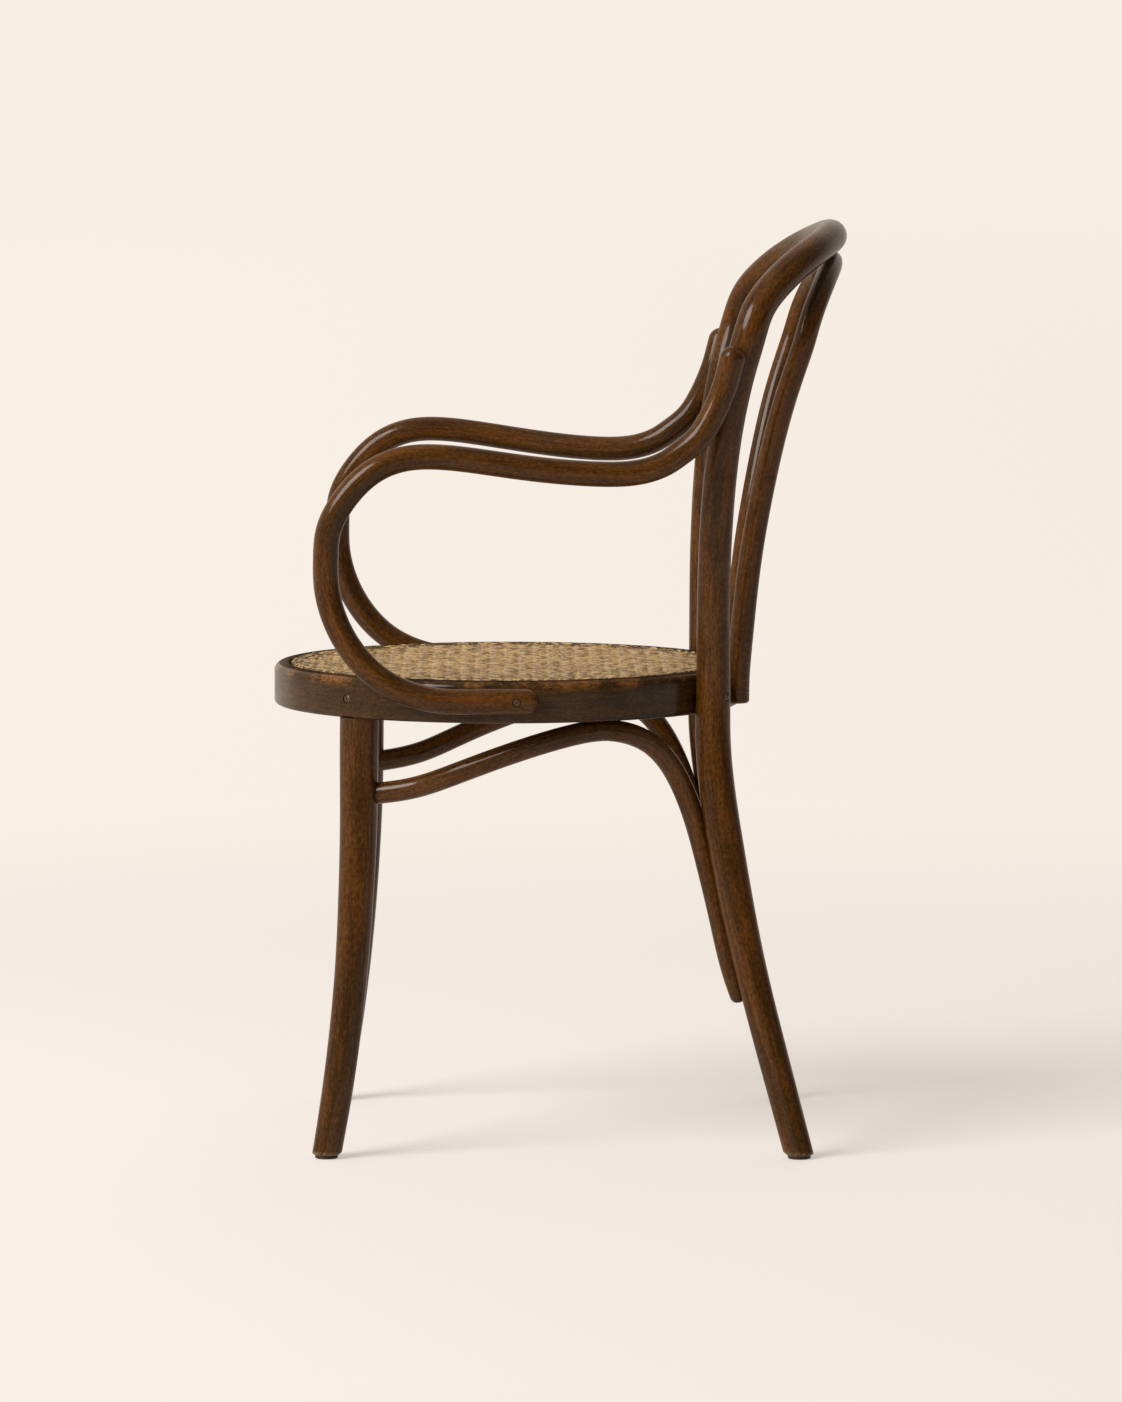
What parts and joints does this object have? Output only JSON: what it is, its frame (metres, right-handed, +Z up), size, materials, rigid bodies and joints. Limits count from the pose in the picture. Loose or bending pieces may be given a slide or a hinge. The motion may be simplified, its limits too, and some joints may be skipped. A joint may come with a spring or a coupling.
{
  "type": "armchair",
  "caption": "Bentwood armchair with a round cane seat, a steam-bent back bow that runs down into the back legs, looped arms and arched braces.",
  "frame": {"origin": "on the floor, under the middle of the chair's bounding box", "axes": "+Z up; the chair faces -Y; the sitter's left is +X"},
  "size_m": [0.5146, 0.565, 0.9033],
  "materials": {
    "ring_wood": "dark stained beech under satin varnish, worn amber along the edges",
    "bow_wood": "dark stained beech under satin varnish, worn amber along the edges",
    "inner_bow_wood": "dark stained beech under satin varnish, worn amber along the edges",
    "arm_wood": "dark stained beech under satin varnish, worn amber along the edges",
    "leg_wood": "dark stained beech under satin varnish, worn amber along the edges",
    "brace_wood": "dark stained beech under satin varnish, worn amber along the edges",
    "cane": "closely woven split cane, aged tan",
    "cane_reed": "pale reed binding, aged yellow",
    "glide_steel": "browned steel, dull",
    "screw_steel": "browned steel, dull"
  },
  "bodies": {
    "root": {"seat_ring": "ring_wood", "cane_panel": "cane", "cane_spline": "cane_reed", "back_bow": "bow_wood", "inner_bow": "inner_bow_wood", "arm_left": "arm_wood", "front_leg_left": "leg_wood", "leg_brace_left": "brace_wood", "arm_right": "arm_wood", "front_leg_right": "leg_wood", "leg_brace_right": "brace_wood", "glide_front_left": "glide_steel", "glide_back_left": "glide_steel", "glide_front_right": "glide_steel", "glide_back_right": "glide_steel", "crest_screw": "screw_steel", "post_screw_left": "screw_steel", "inner_bow_screw_left": "screw_steel", "leg_pin_screw_left": "screw_steel", "arm_seat_screw_left": "screw_steel", "arm_post_screw_left": "screw_steel", "brace_front_screw_left": "screw_steel", "brace_seat_screw_left": "screw_steel", "brace_leg_screw_left": "screw_steel", "post_screw_right": "screw_steel", "inner_bow_screw_right": "screw_steel", "leg_pin_screw_right": "screw_steel", "arm_seat_screw_right": "screw_steel", "arm_post_screw_right": "screw_steel", "brace_front_screw_right": "screw_steel", "brace_seat_screw_right": "screw_steel", "brace_leg_screw_right": "screw_steel"}
  },
  "joints": []
}
